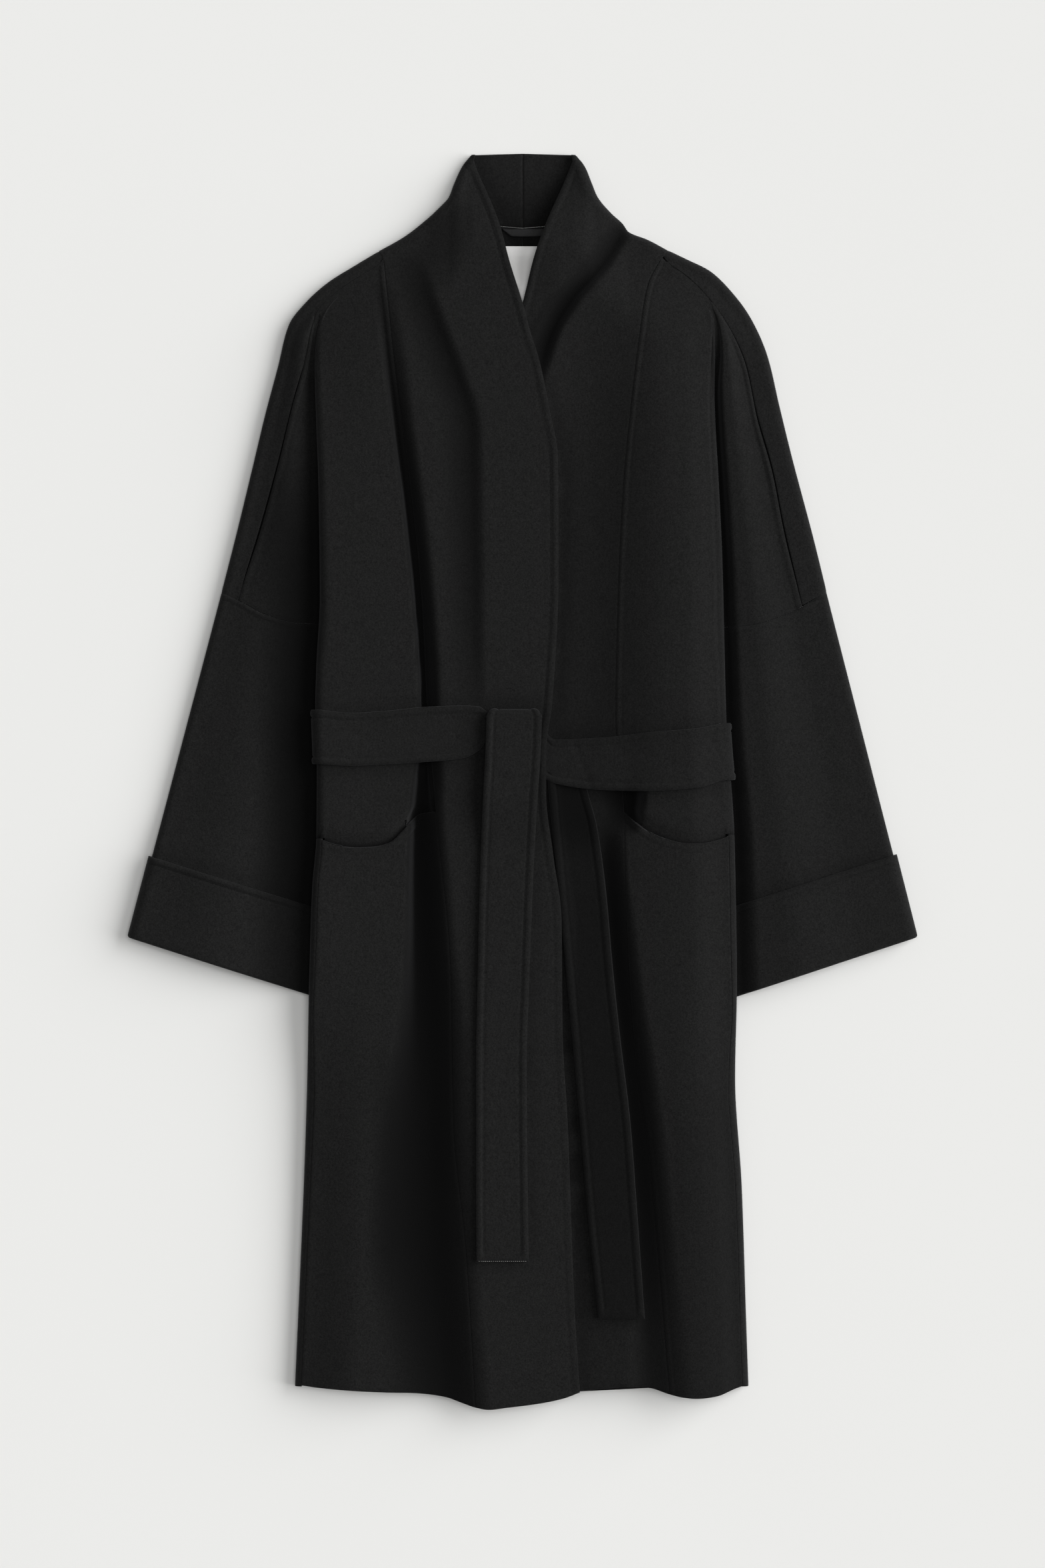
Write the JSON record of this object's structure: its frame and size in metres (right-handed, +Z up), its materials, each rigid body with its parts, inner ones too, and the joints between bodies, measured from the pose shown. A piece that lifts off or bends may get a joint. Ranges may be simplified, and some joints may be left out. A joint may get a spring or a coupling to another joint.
{
  "type": "shawl collar coat",
  "caption": "Long wrap coat in dark double-faced wool with a standing shawl collar, turn-back cuffs, curved pocket mouths and a knotted belt, laid flat on its back.",
  "frame": {"origin": "middle of the coat's outline, on the surface it lies on", "axes": "+Z up from the surface, +Y towards the collar, +X towards the wearer's left, which is the viewer's right"},
  "size_m": [0.7698, 1.2245, 0.0407],
  "materials": {
    "wool": "matte, softly napped",
    "tape": "matte, woven",
    "satin": "smooth satin"
  },
  "bodies": {
    "root": {"back_right": "wool", "back_left": "wool", "front_right": "wool", "front_left": "wool", "collar_right": "wool", "collar_left": "wool", "side_front_right": "wool", "side_front_left": "wool", "skirt_right": "wool", "skirt_left": "wool", "sleeve_right": "wool", "sleeve_left": "wool", "cuff_right": "wool", "cuff_left": "wool", "belt_right": "wool", "belt_left": "wool", "belt_back": "wool", "belt_end_over": "wool", "belt_end_under": "wool", "hanger_loop": "tape", "label": "satin"}
  },
  "joints": []
}
